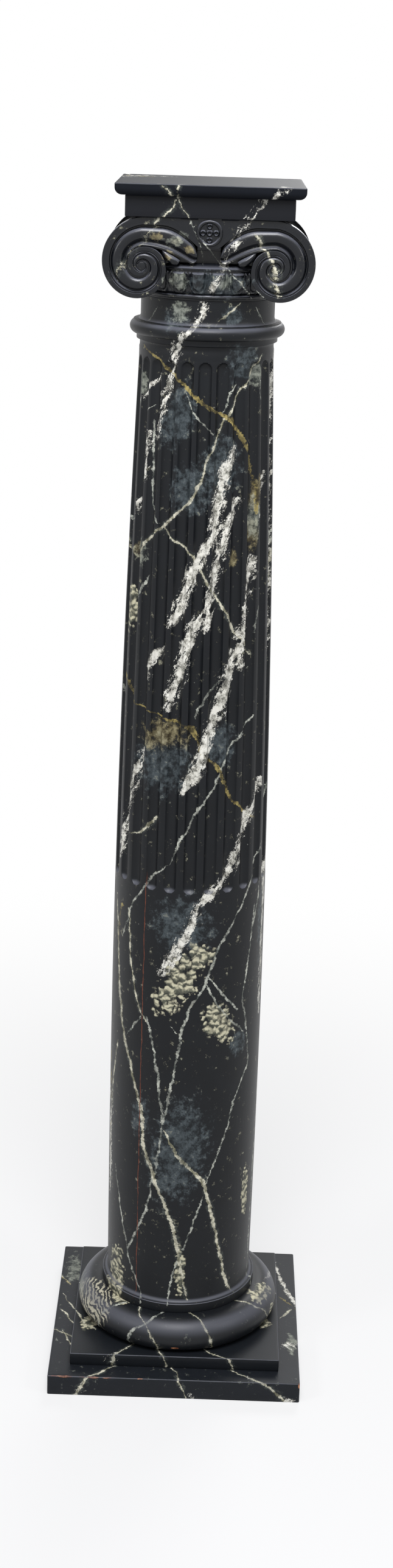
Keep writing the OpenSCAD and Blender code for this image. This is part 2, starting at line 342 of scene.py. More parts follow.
def shaft_levels():
    """Heights and radii of the shaft's rows, above its foot, with how evenly the points spread"""
    cove_top = FOOT_H + FOOT_OUT
    fillet_z = BEAD_Z - BEAD_FILLET_H
    bead_top = BEAD_Z + BEAD_H
    fillet_r = NECK_R + BEAD_FILLET_OUT
    ease = 0.5
    foot = ([(2, 0), (FOOT_R - ease, 0), (FOOT_R, ease), (FOOT_R, FOOT_H / 2), (FOOT_R, FOOT_H - ease),
             (FOOT_R - ease, FOOT_H)] + arc(FOOT_R, cove_top, FOOT_OUT, 265, 180, 7))
    levels = [(z, r, 1.0) for r, z in foot]
    steps = 24
    for i in range(1, steps):
        z = blend(cove_top, FLUTE_START - 12, i / (steps - 1))
        levels.append((z, shaft_r(z), 1.0))
    end_r = FLUTE_W / 2 + OVERCUT
    for before, spread in ((8, 0.7), (4, 0.3), (1.5, 0.06)):
        levels.append((FLUTE_START - before + OVERCUT, shaft_r(FLUTE_START), spread))
    turns = [math.pi / 2 * i / 9 for i in range(10)]
    bottom = [FLUTE_START + end_r - FLUTE_W / 2 * math.cos(t) for t in turns]
    top = [FLUTE_END - end_r + FLUTE_W / 2 * math.sin(t) for t in turns]
    middle = [blend(bottom[-1], top[0], i / 26) for i in range(1, 26)]
    levels += [(z, shaft_r(z), 0.0) for z in bottom + middle + top]
    for after, spread in ((1.5, 0.06), (4, 0.3), (8, 0.7)):
        levels.append((FLUTE_END + after - OVERCUT, shaft_r(FLUTE_END), spread))
    cove_foot = fillet_z - BEAD_FILLET_OUT
    levels.append((cove_foot - 3, shaft_r(cove_foot), 1.0))
    bead_c, bead_r = BEAD_Z + BEAD_H / 2, BEAD_H / 2
    upper = (arc(fillet_r, cove_foot, fillet_r - shaft_r(fillet_z), 180, 92, 6)
             + [(fillet_r, fillet_z + 0.3), (fillet_r, BEAD_Z - 0.6), (fillet_r + 0.4, BEAD_Z)]
             + arc(NECK_R + BEAD_OUT - bead_r, bead_c, bead_r, -88, 62, 16)
             + [(NECK_R + BEAD_OUT - 4.0, bead_top - 1.2), (NECK_R + BEAD_OUT - 4.1, bead_top),
                (NECK_R + 2.2, bead_top + 0.4), (NECK_R + 0.8, bead_top + 1.8), (NECK_R, bead_top + 5)]
             + [(NECK_R, blend(bead_top + 5, SHAFT_TOP - SHAFT_Z, i / 4)) for i in range(1, 5)]
             + [(2, SHAFT_TOP - SHAFT_Z)])
    return levels + [(z, r, 1.0) for r, z in upper]


def shaft_part():
    return skin([shaft_row(z, r, spread) for z, r, spread in shaft_levels()])


# ---- capital, drawn above its own underside and in front of its scrolled face ----

def spiral_r(t):
    """Outer edge of the spiral after t turns from its top"""
    return EYE_R + (VOLUTE_RISE - EYE_R) * max(0.0, 1 - t / TURNS) ** CLOSING


def channel_r(t):
    """Inner edge of the flat rim after t turns"""
    inner = spiral_r(t + 1) if t + 1 < TURNS else EYE_R
    return spiral_r(t) - min(8 - 1.8 * t, 0.72 * (spiral_r(t) - inner))


def spandrel_edge(x):
    """Upper edge of the sweep's channel at x, above the eyes, where the flat under the abacus ends"""
    rise = clamp((abs(x) - 10) / 40)
    return SPANDREL_RISE + (channel_r(0) - SPANDREL_RISE) * math.sin(math.pi / 2 * rise)


def fillet_edge(x):
    """Lower edge of the sweep at x, above the eyes"""
    return spiral_r(1) * math.cos(math.pi / 2 * (EYE_X - abs(x)) / (EYE_X - TIP_X))


def tip_close(x):
    """How far the sweep has opened at x, from nothing at its round tip"""
    u = clamp((abs(x) - TIP_X) / TIP_LEN)
    return math.sqrt(max(0.0, 1 - (1 - u) ** 2))


def channel_height(f, fade):
    """Height in the channel at share f of its width: groove, convex roll, hollow and thin fillet.
    The fillet and its hollow fade into the roll as fade goes to 1."""
    if f <= 0.05:
        return -5.0 * f / 0.05
    start, end = blend(0.12, 0.10, fade), blend(0.68, 0.86, fade)
    if f < start:
        return -5.0
    if f < end:
        across = (f - blend(start, end, 0.5)) / (0.5 * (end - start))
        return -4.6 + 4.4 * math.sqrt(max(0.0, 1 - across ** 2))
    if fade > 0.99 or f > 0.975:
        return -CHANNEL_DEPTH
    if f < 0.875:
        hollow = -4.6 - 1.5 * math.sin(math.pi * (f - end) / (0.875 - end))
    else:
        hollow = -1.8 - 0.5 * abs((f - 0.925) / 0.05)
    return blend(hollow, -CHANNEL_DEPTH, fade)


# Across the flat rim: a share of its width, the height there, and what a quirk adds. Then the shares
# across the channel.
RIM_SHARES = ((0.0, -0.9, 0), (0.05, -0.2, 0), (0.15, 0.0, 0), (0.45, 0.0, 0), (0.68, 0.0, 0),
              (0.75, -0.1, -0.9), (0.81, -0.1, -0.9), (0.87, 0.0, 0.1), (0.94, 0.0, 0.1), (1.0, -0.4, -0.2))
CHANNEL_SHARES = (0.02, 0.05, 0.085, 0.12, 0.135, 0.16, 0.2, 0.25, 0.31, 0.38, 0.45, 0.52, 0.58, 0.63, 0.66,
                  0.69, 0.73, 0.78, 0.83, 0.87, 0.885, 0.9, 0.93, 0.96, 0.975, 0.985, 1.0)


def scroll_section(s):
    """One section across the scroll, as (place from the eye, height): round the volute where s is
    in turns, and along the sweep to the centre where s runs from 0 to -1"""
    room_at_top = channel_r(0) - spiral_r(1)
    back = -SCROLL_T
    if s >= 0:
        outer, inner_rim = spiral_r(s), channel_r(s)
        inner = spiral_r(s + 1) if s + 1 < TURNS else EYE_R
        high, low = inner_rim, inner
        fade = smooth((s - 0.12) / 0.25)
        quirk = smooth((s - 0.2) / 0.2) * smooth((1.25 - s) / 0.3)
        wall = back if s <= 1 else -CHANNEL_DEPTH
    else:
        x = EYE_X + s * (EYE_X - TIP_X)
        outer, inner_rim, inner = VOLUTE_RISE, spandrel_edge(x), fillet_edge(x)
        middle = (inner_rim + inner) / 2
        high = blend(middle, inner_rim, tip_close(x))
        low = blend(middle, inner, tip_close(x))
        fade = quirk = 0.0
        wall = back
    depth = clamp((inner_rim - inner) / room_at_top) ** 0.6
    section = [(outer, wall)]
    section += [(blend(outer, inner_rim, f), (h + extra * quirk) * depth ** 0.3)
                for f, h, extra in RIM_SHARES]
    if s < 0:
        section += [(inner_rim, -RELIEF), (high, -RELIEF)]
    else:
        section += [(inner_rim, -0.8 * depth), (inner_rim, -1.2 * depth)]
    section += [(blend(high, low, f), channel_height(f, fade) * depth) for f in CHANNEL_SHARES]
    section.append((low, -RELIEF if s >= 0 else back))
    return section


def scroll_part():
    """The left half of a scrolled face: a point is (across, height above the underside, outwards)"""
    stations = ([-math.sin(math.pi / 2 * i / 30) for i in range(30, 0, -1)]
                + [TURNS * (i / 190) for i in range(186)])
    rows = []
    for s in stations:
        row = []
        for r, height in scroll_section(s):
            a = math.tau * max(s, 0.0)
            across = -EYE_X - r * math.sin(a) if s >= 0 else -EYE_X - s * (EYE_X - TIP_X)
            row.append((across, EYE_Z + (r * math.cos(a) if s >= 0 else r), height))
        rows.append(row)
    return skin(rows, wrap=False)


def eye_part():
    """The low button in the middle of a volute"""
    profile = [(EYE_R + 0.4, -CHANNEL_DEPTH), (EYE_R + 0.2, -1.2), (EYE_R - 0.5, -0.7), (EYE_R - 1.6, -0.5),
               (1.2, -0.1)]
    return skin([[(-EYE_X + r * math.cos(a), EYE_Z + r * math.sin(a), h) for a in around(40)]
                 for r, h in profile], start_lid=False)


def spandrel_part():
    """The flat under the abacus between the two sweeps' tips, and the sunk ground below it"""
    count = 24
    rows = []
    for i in range(count + 1):
        x = TIP_X * (2 * i / count - 1)
        foot = spandrel_edge(x)
        rows.append([(x, EYE_Z + z, h) for z, h in (
            (VOLUTE_RISE, -SCROLL_T), (VOLUTE_RISE, 0), (blend(VOLUTE_RISE, foot, 0.5), 0), (foot + 0.6, 0),
            (foot, -0.5), (foot, -RELIEF), (SPANDREL_FOOT + 0.5, -RELIEF),
            (SPANDREL_FOOT, -RELIEF - 0.5), (SPANDREL_FOOT, -SCROLL_T))])
    return skin(rows, wrap=False)


def tip_ground_part():
    """Sunk ground that shows round the sweep's tip"""
    count = 12
    rows = []
    for i in range(count + 1):
        x = -blend(TIP_X + TIP_LEN + 6, TIP_X, i / count)
        middle = (spandrel_edge(x) + fillet_edge(x)) / 2
        foot = max(blend(middle, fillet_edge(x), tip_close(x)), 0) if i < count else SPANDREL_FOOT
        rows.append([(x, EYE_Z + z, h) for z, h in (
            (spandrel_edge(x) + 1, -RELIEF), (blend(spandrel_edge(x), foot, 0.5), -RELIEF),
            (foot, -RELIEF), (foot, -SCROLL_T))])
    return skin(rows, wrap=False)


def bud_part():
    """A pointed bud in the corner between the volute and its sweep"""
    bulb, tip = Vector((-EYE_X + 36.0, EYE_Z + 5.5)), Vector((-EYE_X + 20.5, EYE_Z + 17.0))
    axis = tip - bulb
    side = Vector((-axis.y, axis.x)).normalized()
    rows = []
    for i in range(17):
        u = i / 16
        wide = 4.3 * math.sqrt(max(0.0, math.sin(math.pi * u ** 0.62))) + 0.05
        bend = 1.8 * math.sin(math.pi * u)
        middle = bulb + axis * (u * 1.2 - 0.2) + side * bend
        row = []
        for j in range(13):
            a = math.pi * j / 12
            p = middle + side * wide * math.cos(a)
            row.append((p.x, p.y, -RELIEF + wide * 1.25 * math.sin(a)))
        rows.append(row)
    return skin(rows, wrap=False)


def rosette_height(x, z):
    """Height on the rosette: a round rim, a centre boss with a hole, and four dimples with round lips"""
    share = math.hypot(x, z)
    height = 2.6 * math.sqrt(max(0.0, 1 - ((share - 0.86) / 0.14) ** 2)) - 2.6
    height += 2.2 * smooth((0.26 - share) / 0.07) - 1.4 * smooth((0.14 - share) / 0.08)
    for dimple_x, dimple_z in ((0.5, 0), (0, 0.5), (-0.5, 0), (0, -0.5)):
        away = math.hypot(x - dimple_x, z - dimple_z) / 0.21
        height += 1.9 * smooth((1.15 - away) / 0.35) - 2.6 * smooth((0.72 - away) / 0.4)
    return height


def rosette_part(front):
    """The disc between the sweeps; front is how far its rim stands out"""
    centre_z = EYE_Z + VOLUTE_RISE - ROSETTE_R - 0.8
    angles = around(96)
    rows = [[(ROSETTE_R * math.cos(a), centre_z + ROSETTE_R * math.sin(a), -RELIEF) for a in angles]]
    for i in range(49):
        share = blend(1.0, 0.02, i / 48)
        spots = [(share * math.cos(a), share * math.sin(a)) for a in angles]
        rows.append([(ROSETTE_R * x, centre_z + ROSETTE_R * z, front + rosette_height(x, z))
                     for x, z in spots])
    return skin(rows, start_lid=False)


def egg_relief(azimuth, z):
    """How far the eggs, their shells and the darts stand out from the echinus, at an angle in degrees
    from the face's middle and a height above the capital's underside"""
    if abs(azimuth) > EGG_END:
        return 0.0
    middle = EGG_PITCH * (math.floor(azimuth / EGG_PITCH) + 0.5)
    x = (azimuth - middle) * math.radians(1) * ECHINUS_R
    egg = math.hypot(x / EGG_W, min(0.0, z - EGG_Z) / EGG_H)
    relief = EGG_OUT * math.sqrt(max(0.0, 1 - egg * egg))
    relief += SHELL_OUT * math.exp(-((egg - 1.27) / 0.12) ** 2)
    dart = max(0.0, 1 - abs(abs(x) - DART_X))
    relief += DART_OUT * dart * clamp((z - 8) / 8) * clamp((30 - z) / 4)
    return relief * smooth((z - 7.4) / 1.2) * smooth((30.5 - z) / 2.5)


def echinus_part():
    """The round echinus over its bead, with points closer together where the eggs are"""
    fine = [i * 0.3 for i in range(-156, 157)]
    coarse = [EGG_END + i * 2.15 for i in range(1, 40)]
    azimuths = fine + coarse + [180 + a for a in fine + coarse]
    azimuths = [a for a in azimuths if a < 313.2]
    ovolo = [blend(OVOLO_Z, OVOLO_TOP, i / 44) for i in range(45)]
    profile = ([(2, 0, 0), (NECK_R - 0.4, 0, 0), (NECK_R, 0.4, 0), (NECK_R, 1.8, 0)]
               + [(r, z, 0) for r, z in arc(NECK_R + 1.4, 4.25, 2.3, -80, 80, 8)]
               + [(NECK_R + 0.6, 7.2, 0)]
               + [(NECK_R + 1 + OVOLO_OUT * math.sqrt(max(0.0, 1 - ((OVOLO_TOP - z) / 24.6) ** 2)), z, 1)
                  for z in ovolo]
               + [(FACE_Y - 0.6, 32.0, 0), (FACE_Y, 32.6, 0), (FACE_Y, 34.0, 0), (FACE_Y - 0.6, 34.5, 0),
                  (FACE_Y - 8, 38.5, 0), (2, 38.5, 0)])
    rows = []
    for r, z, carved in profile:
        row = []
        for azimuth in azimuths:
            from_face = azimuth if azimuth < 90 else azimuth - 180
            out = egg_relief(from_face, z) if carved else 0.0
            a = math.radians(azimuth - 90)
            row.append(((r + out) * math.cos(a), (r + out) * math.sin(a), z))
        rows.append(row)
    return skin(rows)


def bolster_part():
    """The waisted roll behind a pair of volutes, with its strap of three beads, on the left"""
    half = FACE_Y - SCROLL_T + 1
    profile = [(0.5, -half)]
    for i in range(-60, 61):
        y = half * i / 60
        r = BOLSTER_WAIST_R + (BOLSTER_R - BOLSTER_WAIST_R) * (y / half) ** 2
        if abs(y) < 1.5 * STRAP_BEAD:
            from_bead = (y + 1.5 * STRAP_BEAD) % STRAP_BEAD - STRAP_BEAD / 2
            r = BOLSTER_WAIST_R + math.sqrt(max(0.0, (STRAP_BEAD / 2) ** 2 - from_bead ** 2))
        profile.append((r, y))
    profile.append((0.5, half))
    return skin([[(-EYE_X - 4 + r * math.cos(a), y, EYE_Z + 5 - r * math.sin(a)) for a in around(48)]
                 for r, y in profile])


def block_part():
    """The plain block that joins the two scrolled faces under the abacus"""
    x, y = EYE_X + 8, FACE_Y - SCROLL_T + 1
    rows = [[(-x, -y, z), (x, -y, z), (x, y, z), (-x, y, z)] for z in (EYE_Z, EYE_Z + VOLUTE_RISE)]
    return skin(rows)


def capital_parts():
    """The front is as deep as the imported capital, whose rosette stands out furthest. The back has none."""
    front_reach = -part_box("capital")[0].y / MM - FACE_Y
    bolster = bolster_part()
    parts = [echinus_part(), bolster, block_part(), flipped(moved(bolster, lambda x, y, z: (-x, y, z)))]
    half_face = [scroll_part(), eye_part(), tip_ground_part(), bud_part()]
    mirrored = [flipped(moved(p, lambda x, z, h: (-x, z, h))) for p in half_face]
    face = half_face + mirrored + [spandrel_part()]
    for part in face + [rosette_part(front_reach)]:
        parts.append(moved(part, lambda x, z, h: (x, -FACE_Y - h, z)))
    for part in face:
        parts.append(moved(part, lambda x, z, h: (-x, FACE_Y + h, z)))
    return [moved(p, lambda x, y, z: (x, y, z + CAPITAL_Z)) for p in parts]


# ---- finishes ----

def linear(hex_colour):
    """An sRGB hex colour as the linear values that the shaders take"""
    channels = [int(hex_colour[i:i + 2], 16) / 255 for i in (1, 3, 5)]
    return tuple(c / 12.92 if c <= 0.04045 else ((c + 0.055) / 1.055) ** 2.4 for c in channels) + (1.0,)


def node(tree, kind, inputs=(), **settings):
    """Adds a shader node with its settings. An input takes a value, a socket or a node's first output."""
    made = tree.nodes.new("ShaderNode" + kind)
    for name, value in settings.items():
        setattr(made, name, value)
    for place, value in dict(inputs).items():
        if isinstance(value, bpy.types.Node):
            value = value.outputs[0]
        if isinstance(value, bpy.types.NodeSocket):
            tree.links.new(value, made.inputs[place])
        else:
            made.inputs[place].default_value = value
    return made


def bare_tree(owner):
    """The node tree of a material or a world, with nothing in it yet"""
    owner.use_nodes = True
    owner.node_tree.nodes.clear()
    return owner.node_tree


# Settings of a range that eases in and out, so that no stroke or patch ends in a hard ring
SOFT = {"interpolation_type": "SMOOTHSTEP"}


# ---- the marbling, laid out flat ----
# Across is the angle round the column's axis. Along is the height, and on a board or the torus it runs
# on over the top towards the axis. A route is its kind, its half width in mm, and its turning points as
# (degrees from the middle of the front, mm along). A patch is its kind, its middle in the same way, its
# half width and half height in mm, and how many degrees it leans.

SHAFT_ROUTES = [
    ("white", 3.8, (4, 1290), (-6, 1255), (-16, 1236), (-28, 1222), (-26, 1206), (-32, 1190), (-36, 1162),
     (-44, 1122)),
    ("white", 3.5, (-50, 1138), (-53, 1105), (-56, 1070)),
    ("white", 2.2, (-36, 1200), (-48, 1184), (-60, 1172), (-70, 1160)),
    ("white", 2.0, (-62, 1062), (-66, 1040), (-70, 1020)),
    ("white", 2.6, (76, 1190), (74, 1150), (74, 1120)),
    ("white", 2.4, (64, 1096), (60, 1070), (54, 1040)),
    ("white", 7.0, (29, 1126), (20, 1095), (13, 1058), (10, 1022), (-4, 990), (-9, 965), (-23, 920)),
    ("white", 6.0, (-26, 905), (-37, 884), (-43, 855)),
    ("white", 5.5, (32, 1070), (19, 1023), (12, 980), (8, 945), (5, 915)),
    ("white", 7.0, (4, 945), (-8, 905), (-14, 870), (-22, 828)),
    ("white", 5.0, (50, 1005), (40, 945), (38, 915), (34, 872)),
    ("white", 7.5, (32, 902), (23, 853), (12, 808), (4, 766), (-8, 732)),
    ("white", 4.5, (-43, 782), (-53, 730), (-62, 685), (-68, 640)),
    ("white", 5.0, (67, 748), (53, 715), (43, 687), (35, 650), (20, 622), (2, 592)),
    ("white", 6.0, (8, 600), (-6, 552), (-21, 512)),
    ("gold", 1.7, (-78, 1226), (-54, 1215), (-32, 1200), (-11, 1176), (9, 1156), (20, 1153), (32, 1135),
     (43, 1108), (51, 1070), (50, 1045)),
    ("gold", 1.8, (-80, 905), (-72, 862), (-63, 839), (-50, 826), (-24, 821), (-3, 812), (8, 779), (19, 766),
     (31, 728), (50, 703), (66, 688)),
    ("gold", 1.2, (-60, 588), (-66, 560), (-68, 530)),
    ("cream", 1.3, (60, 1222), (45, 1200), (30, 1177), (18, 1148), (5, 1112), (-1, 1082), (-9, 1060),
     (-24, 1043), (-48, 1015), (-62, 986)),
    ("thin", 1.2, (-48, 1150), (-47, 1095), (-46, 1052), (-36, 1033)),
    ("cream", 1.2, (-38, 1038), (-24, 1022), (-8, 1006), (15, 957), (33, 916), (48, 888)),
    ("cream", 1.6, (-24, 710), (-42, 681), (-58, 672)),
    ("cream", 2.0, (-72, 600), (-64, 500), (-56, 436), (-41, 377), (-32, 330), (-31, 297), (-18, 245),
     (-4, 193), (1, 150), (7, 100), (8, 90)),
    ("thin", 0.9, (33, 1192), (22, 1178), (15, 1152)),
    ("thin", 0.8, (-60, 1166), (-47, 1161), (-62, 1145)),
    ("thin", 0.8, (48, 1198), (55, 1186), (50, 1180), (60, 1148)),
    ("thin", 0.9, (-43, 1268), (-52, 1253), (-66, 1238)),
    ("thin", 1.0, (42, 1272), (50, 1258), (60, 1242)),
    ("cream", 1.1, (36, 1276), (24, 1266), (14, 1256), (4, 1246)),
    ("thin", 0.9, (-18, 1182), (-10, 1157), (12, 1130)),
    ("thin", 1.1, (64, 968), (52, 934), (50, 912)),
    ("thin", 1.0, (53, 882), (38, 868)),
    ("thin", 1.0, (54, 824), (36, 796)),
    ("thin", 1.0, (-45, 982), (-56, 943), (-58, 925)),
    ("thin", 1.1, (22, 868), (7, 847), (-1, 818)),
    ("thin", 1.1, (44, 815), (25, 776), (16, 738), (4, 713), (-9, 680), (-16, 648)),
    ("thin", 1.2, (-16, 650), (-30, 633), (-46, 597), (-60, 546)),
    ("thin", 0.9, (68, 665), (46, 602), (27, 560)),
    ("thin", 0.9, (70, 640), (63, 592), (54, 550)),
    ("cream", 1.2, (-52, 590), (-46, 513), (-38, 471), (-28, 447)),
    ("thin", 1.3, (-31, 466), (-28, 450), (-21, 398), (-16, 345), (-15, 320)),
    ("cream", 1.8, (-16, 326), (0, 282), (18, 255), (25, 212), (32, 170), (40, 120), (48, 92)),
    ("thin", 1.3, (41, 592), (23, 547), (15, 510), (3, 478), (-3, 440), (-9, 378), (-16, 320)),
    ("thin", 1.3, (-15, 326), (-20, 270), (-27, 208), (-45, 146), (-30, 98), (-27, 84)),
    ("thin", 1.2, (16, 517), (31, 487), (48, 462)),
    ("thin", 1.2, (13, 510), (28, 472), (52, 433)),
    ("thin", 1.0, (60, 600), (48, 480), (54, 434), (59, 400), (44, 355), (33, 302), (20, 250)),
    ("thin", 1.1, (-33, 466), (-52, 422)),
    ("thin", 0.8, (-28, 456), (-12, 454), (-3, 440)),
    ("thin", 1.0, (19, 240), (9, 188), (-4, 131), (-7, 86)),
    ("thin", 1.0, (-64, 250), (-52, 190), (-44, 146)),
    ("cream", 1.2, (-62, 420), (-70, 370), (-74, 320)),
]
# A patch is its kind, its centre, its half sizes across and along in mm, and its lean in degrees
SHAFT_PATCHES = [
    ("dab", (-24, 1259), (20, 17), 25),
    ("smoke", (-26, 1252), (26, 18), 0),
    ("smoke", (22, 1256), (20, 14), 0),
    ("smoke", (34, 1208), (34, 32), 0),
    ("smoke", (-22, 1150), (30, 50), -20),
    ("smoke", (-10, 1075), (38, 40), 0),
    ("smoke", (16, 1100), (38, 46), 0),
    ("ochre", (50, 1068), (13, 30), -10),
    ("ochre", (47, 1024), (13, 26), 0),
    ("ochre", (29, 1000), (9, 16), -10),
    ("dab", (48, 1040), (14, 34), 0),
    ("dab", (-70, 1180), (16, 26), 0),
    ("dab", (48, 1196), (16, 18), 0),
    ("dab", (-56, 998), (18, 22), 0),
    ("cream", (-68, 936), (14, 34), 0),
    ("ochre", (-60, 1000), (12, 16), 0),
    ("smoke", (-26, 768), (52, 54), 0),
    ("ochre", (-26, 800), (44, 26), 10),
    ("smoke", (22, 790), (26, 36), 0),
    ("smoke", (-4, 578), (52, 52), 0),
    ("cream", (-4, 512), (26, 66), -35),
    ("cream", (27, 455), (22, 38), 30),
    ("smoke", (44, 425), (20, 24), 0),
    ("smoke", (-2, 292), (50, 96), -10),
    ("smoke", (-34, 330), (18, 40), 0),
    ("cream", (-58, 106), (22, 48), 0),
    ("cream", (2, 135), (8, 44), 0),
    ("cream", (62, 222), (9, 42), 0),
    ("smoke", (70, 560), (10, 70), 0),
]
CAPITAL_ROUTES = [
    ("thin", 0.4, (-19, 1370), (-11, 1345), (-6, 1327), (-5, 1306)),
    ("thin", 0.5, (-11, 1344), (6, 1315), (18, 1300), (35, 1279), (40, 1271)),
    ("cream", 0.5, (-28, 1370), (-35, 1345), (-39, 1335), (-43, 1323), (-48, 1302), (-51, 1288)),
    ("white", 2.6, (25, 1358), (22, 1345), (20, 1335), (12, 1314), (8, 1300), (3, 1283), (0, 1270)),
    ("cream", 1.1, (27, 1350), (34, 1329), (39, 1313), (40, 1292), (42, 1278)),
    ("thin", 1.0, (-27, 1278), (-40, 1268)),
    ("cream", 1.2, (37, 1280), (30, 1270)),
]
CAPITAL_PATCHES = [
    ("ochre", (-33, 1338), (8, 6), 20),
    ("ochre", (-22, 1333), (8, 5), 20),
    ("dab", (-22, 1334), (16, 8), 30),
    ("ochre", (-14, 1326), (7, 7), 0),
    ("ochre", (-27, 1319), (7, 6), 0),
    ("dab", (-22, 1294), (15, 14), 0),
    ("smoke", (6, 1290), (50, 22), 0),
    ("dab", (14, 1292), (12, 12), 0),
]
BOARD_ROUTES = [
    ("cream", 0.5, (-17, 1392), (-23, 1371), (-27, 1362), (-32, 1346)),
    ("cream", 0.4, (-26, 1392), (-18, 1366), (-11, 1346)),
    ("white", 2.4, (33, 1384), (31, 1372), (26, 1364), (24, 1350)),
]
TOP_ROUTES = [
    ("cream", 0.5, (-33, 1409), (-29, 1392), (-24, 1385), (-19, 1370)),
    ("cream", 0.7, (-14, 1409), (-19, 1390), (-23, 1370)),
    ("white", 2.1, (45, 1420), (40, 1398), (36, 1385), (33, 1372)),
]
TORUS_ROUTES = [
    ("cream", 0.9, (-31, 124), (-24, 95), (-18, 81), (-13, 62), (-9, 48), (-6, 28)),
    ("thin", 1.6, (-2, 124), (-11, 106), (-18, 81), (-25, 68), (-27, 56), (-29, 44), (-31, 28)),
    ("cream", 1.2, (4, 124), (12, 108), (16, 96), (17, 82), (20, 58), (22, 48), (25, 28)),
    ("cream", 0.9, (44, 124), (52, 106), (57, 85), (66, 55), (72, 30)),
    ("thin", 1.2, (-36, 122), (-46, 86), (-51, 54), (-53, 30)),
]
TORUS_PATCHES = [
    ("stripe", (-64, 74), (50, 44), 0),
    ("cream", (-46, 112), (22, 16), 0),
    ("dab", (-84, 72), (40, 22), 0),
    ("cream", (72, 88), (34, 22), -20),
    ("cream", (74, 52), (10, 14), 0),
]
STEP_ROUTES = [
    ("white", 2.0, (-29, 52), (-31, 44), (-32, 26)),
    ("cream", 0.8, (-13, 70), (-9, 51), (-6, 38), (-4, 24), (-3, 10)),
    ("cream", 1.1, (-25, 80), (-27, 62), (-30, 46), (-31, 30), (-32, 10)),
    ("cream", 0.9, (16, 70), (21, 48), (27, 42), (29, 34), (31, 10)),
    ("cream", 1.1, (-52, 72), (-62, 55), (-74, 44), (-84, 36)),
]
STEP_PATCHES = [
    ("cream", (-64, 62), (24, 14), 0),
    ("cream", (68, 60), (18, 12), 0),
]
SLAB_ROUTES = [
    ("white", 2.0, (-37, 9), (-38, 2), (-39, -12)),
    ("white", 1.6, (7, 9), (8, 2), (8, -12)),
    ("white", 2.2, (41, 10), (43, 2), (44, -12)),
    ("white", 1.4, (31, 40), (32, 36), (34, 28)),
    ("cream", 0.9, (-56, 64), (-64, 46), (-70, 34), (-74, 16)),
    ("cream", 0.9, (-64, 66), (-76, 48), (-86, 36), (-92, 24)),
    ("cream", 0.8, (-74, 66), (-86, 52), (-96, 40), (-104, 30)),
    ("cream", 0.9, (-4, 66), (-1, 48), (2, 36), (2, 26), (4, 14), (6, 0), (8, -14)),
    ("cream", 1.1, (-26, 66), (-31, 46), (-32, 34), (-35, 26), (-36, 12), (-38, 0), (-39, -14)),
    ("cream", 1.2, (24, 66), (29, 48), (32, 36), (34, 26), (38, 18), (40, 8), (42, 0), (44, -14)),
    ("cream", 1.2, (-52, 58), (-60, 44), (-70, 38), (-76, 32)),
    ("thin", 1.2, (-56, 38), (-66, 30), (-60, 24)),
    ("white", 4.0, (60, 50), (63, 42), (66, 30), (69, 20)),
    ("cream", 1.8, (84, 52), (92, 38), (98, 26)),
]
SLAB_PATCHES = [
    ("dab", (-124, 42), (36, 14), 0),
    ("dab", (66, 34), (26, 9), 0),
]
# A crack is its degrees from the middle of the front, its foot and its top in mm. A chip is its centre,
# its half length along the edge with its half height, and how deep it goes, in mm.
SHAFT_CRACK = (-34.5, 84.0, 640.0)
TORUS_CHIPS = [((0.0, -120.5, 49.5), (5.5, 2.0), 0.8)]
SLAB_CHIPS = [((-134.0, -150.0, 25.5), (17.0, 1.9), 0.9), ((-103.0, -150.0, 25.5), (18.0, 1.7), 0.8),
              ((-76.0, -150.0, 25.5), (10.0, 1.5), 0.7), ((-40.0, -150.0, 25.5), (4.0, 1.3), 0.7),
              ((149.5, -149.5, 23.0), (1.8, 4.5), 1.2)]


# Veins of the sides and the back, as kind and half width, and how far one wanders, in degrees
PLAINER_VEINS = (("white", 5.0), ("cream", 1.5), ("thin", 1.1), ("thin", 1.2), ("gold", 1.6))
PLAINER_LEAN = 40


def plainer_routes(seed, count, low, high, stride=(0.03, 0.09), thin=1.0):
    """Veins for the sides and the back, wandering down at a slant, seeded so that they stay the same. A
    stride is a share of the height, and thin a share of the usual width."""
    rng = random.Random(seed)
    routes = []
    for i in range(count):
        kind, half_width = rng.choice(PLAINER_VEINS)
        side = rng.choice((-1, 1))
        angle, along = rng.uniform(82, 160), rng.uniform(blend(low, high, 0.25), high)
        lean = rng.uniform(-0.75, 0.5)
        points = [(side * angle, along)]
        for step in range(rng.choice((3, 4, 5))):
            along -= rng.uniform(*stride) * (high - low)
            angle = clamp(angle + lean * PLAINER_LEAN + rng.uniform(-9, 9), 76, 172)
            points.append((side * angle, along))
        routes.append((kind, half_width * thin) + tuple(points))
    return routes


def plainer_patches(seed, count, low, high):
    """Sponged patches for the sides and the back, seeded so that they stay the same. Smoke spreads
    furthest."""
    rng = random.Random(seed)
    patches = []
    for i in range(count):
        kind, side = rng.choice(("smoke", "smoke", "smoke", "dab", "ochre")), rng.choice((-1, 1))
        share = 1.0 if kind == "smoke" else 0.5
        size = (rng.uniform(24, 44) * share, rng.uniform(30, 80) * share)
        middle = (side * rng.uniform(100, 172), rng.uniform(low, high))
        patches.append((kind, middle, size, rng.uniform(-30, 30)))
    return patches


# What the brushes and the sponge leave, as the distance in mm from one mark to the next
WANDER = 25.0
CLOUD = 26.0
DAB = 9.0
GRIT = 1.4
SPECK = 11.0
PUSH = 11.0
CLUMP = 6.6
STRIPE = 8.0
BRUSH_MARK = 2.4


def per_metre(size):
    """How many of a size in mm lie in a metre, which is the scale a pattern takes"""
    return 1 / (size * MM)


# REACH, in metres, is added to every half width so that none is below 0. NOWHERE is the half width past
# a vein's ends, where nothing is drawn. A route's curve goes on for END mm past its last point, and its
# last TAPER mm narrow.
REACH = 0.040
NOWHERE = -0.038
END = 3.0
TAPER = 12.0


